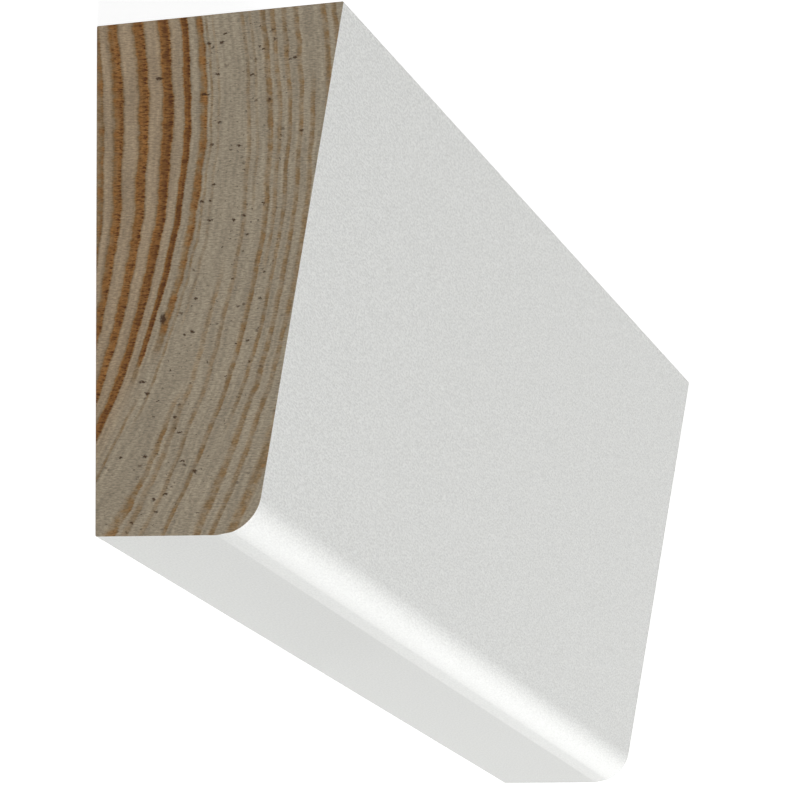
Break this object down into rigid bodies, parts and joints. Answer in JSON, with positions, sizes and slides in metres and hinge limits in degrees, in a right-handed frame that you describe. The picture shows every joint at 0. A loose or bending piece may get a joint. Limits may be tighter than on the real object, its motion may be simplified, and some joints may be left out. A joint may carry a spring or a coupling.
{
  "type": "cornice moulding",
  "caption": "Straight length of white-painted pine cornice moulding with a sloping face, rounded nose and bare sawn ends, trimming the joint between wall and ceiling.",
  "frame": {"origin": "under the middle of the piece, on the plane of its wall face, which it lies on", "axes": "+X along the length, +Y up the wall towards the ceiling edge, +Z away from the wall"},
  "size_m": [0.3, 0.045, 0.021],
  "materials": {
    "painted_pine": "matte"
  },
  "bodies": {
    "root": {"cornice_moulding": "painted_pine"}
  },
  "joints": []
}
